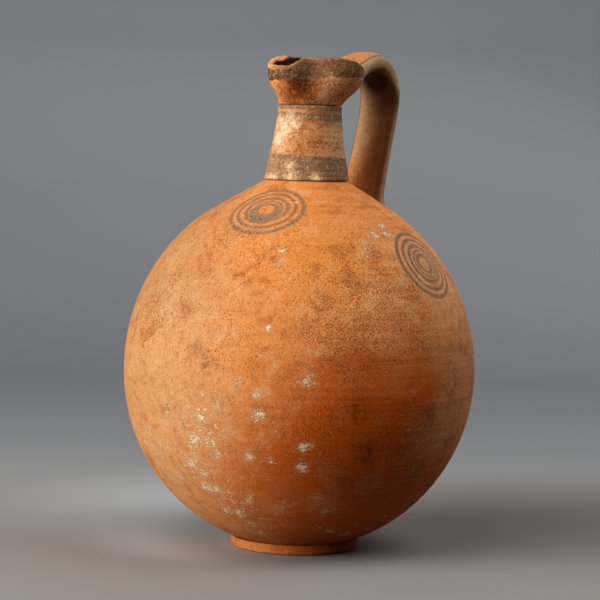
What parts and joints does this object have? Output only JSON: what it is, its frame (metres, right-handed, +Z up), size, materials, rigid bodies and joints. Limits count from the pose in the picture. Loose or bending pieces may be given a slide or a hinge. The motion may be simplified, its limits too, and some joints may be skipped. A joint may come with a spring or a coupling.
{
  "type": "trefoil jug",
  "caption": "Wheel-thrown globular jug on a low ring foot, with a narrow flaring neck, a mouth pinched into a trefoil spout and a strap handle from rim to shoulder.",
  "frame": {"origin": "middle of the foot's underside, on the surface that the jug stands on", "axes": "+Z up along the jug's turning axis, +X to the handle, -X to the spout"},
  "size_m": [0.176, 0.176, 0.2493],
  "materials": {
    "bare_clay": "unslipped orange earthenware, matt and gritty, worn at the edge",
    "orange_slip": "matt orange slip with wheel lines, dark pits, pale lime crust and grey-brown painted circles",
    "banded_slip": "matt orange slip with grey-brown painted bands and pale crust",
    "brown_rim_slip": "worn grey-brown paint over orange clay, bare along the lip",
    "painted_handle_slip": "matt orange-brown slip with grey-brown painted edges"
  },
  "bodies": {
    "root": {"foot_ring": "bare_clay", "body": "orange_slip", "neck": "banded_slip", "trefoil_mouth": "brown_rim_slip", "handle": "painted_handle_slip"}
  },
  "joints": []
}
